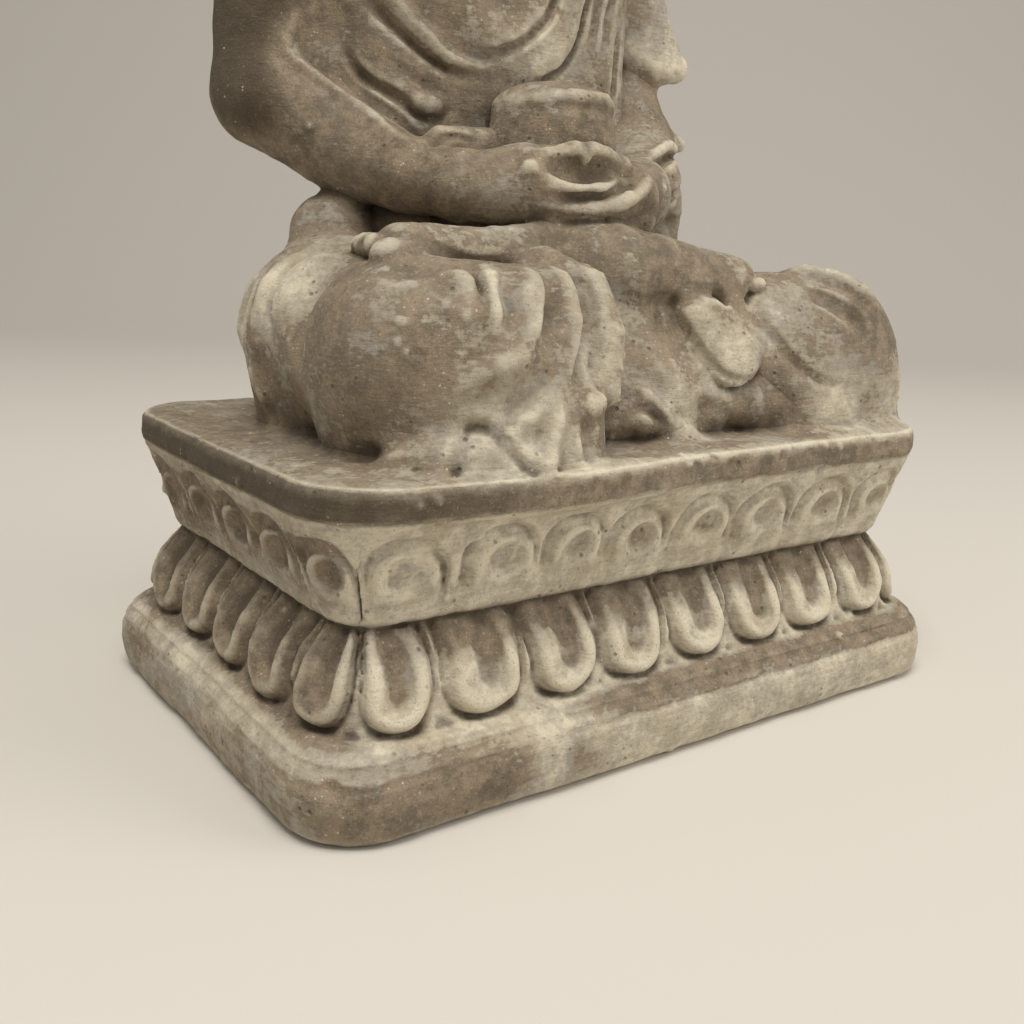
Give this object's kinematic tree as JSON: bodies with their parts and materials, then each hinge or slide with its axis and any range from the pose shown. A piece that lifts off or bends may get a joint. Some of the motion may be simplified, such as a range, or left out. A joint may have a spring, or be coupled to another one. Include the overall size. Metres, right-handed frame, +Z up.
{
  "type": "buddha statue",
  "caption": "Small cement figure seated cross-legged in meditation, hands in the lap with an alms bowl, on a rectangular pedestal with two tiers of lotus petals.",
  "frame": {"origin": "middle of the flat underside of the plinth", "axes": "+Z up, the figure faces -Y, +X to the viewer's right when looking at its face"},
  "size_m": [0.118, 0.08, 0.1895],
  "materials": {
    "slab_cement": "matte weathered cement, brown where the wash is worn",
    "lotus_cement": "matte weathered cement with cream and grey-green wash",
    "robe_cement": "matte weathered cement with worn wash",
    "skin_cement": "matte weathered cement, darker and browner",
    "hair_cement": "matte weathered cement, darkest in the hollows"
  },
  "bodies": {
    "root": {"plinth_slab": "slab_cement", "lower_lotus_core": "lotus_cement", "waist_band": "lotus_cement", "upper_lotus_core": "lotus_cement", "seat_slab": "slab_cement", "lower_petals_front": "lotus_cement", "lower_petals_right": "lotus_cement", "lower_petals_back": "lotus_cement", "lower_petals_left": "lotus_cement", "lower_petals_corners": "lotus_cement", "upper_petals_front": "lotus_cement", "upper_petals_right": "lotus_cement", "upper_petals_back": "lotus_cement", "upper_petals_left": "lotus_cement", "upper_petals_corners": "lotus_cement", "right_thigh": "robe_cement", "left_thigh": "robe_cement", "right_knee": "robe_cement", "left_knee": "robe_cement", "lap_robe": "robe_cement", "front_hem": "robe_cement", "right_knee_hem": "robe_cement", "left_knee_hem": "robe_cement", "knee_hem_strip": "robe_cement", "hanging_flap": "robe_cement", "side_flap": "robe_cement", "right_foot": "skin_cement", "right_toes": "skin_cement", "left_foot": "skin_cement", "left_toes": "skin_cement", "torso": "skin_cement", "chest": "skin_cement", "chest_robe": "robe_cement", "neckline_fold": "robe_cement", "shoulder_drape": "robe_cement", "back_robe": "robe_cement", "right_hip_drape": "robe_cement", "left_hip_drape": "robe_cement", "robe_end_fold": "robe_cement", "right_upper_arm": "skin_cement", "right_forearm": "skin_cement", "right_hand": "skin_cement", "right_fingers": "skin_cement", "right_thumb": "skin_cement", "left_sleeve": "robe_cement", "left_cuff": "robe_cement", "left_hand": "skin_cement", "left_fingers": "skin_cement", "left_thumb": "skin_cement", "alms_bowl": "skin_cement", "neck": "skin_cement", "head": "skin_cement", "right_ear": "skin_cement", "left_ear": "skin_cement", "hair_cap": "hair_cement", "ushnisha": "hair_cement"}
  },
  "joints": []
}
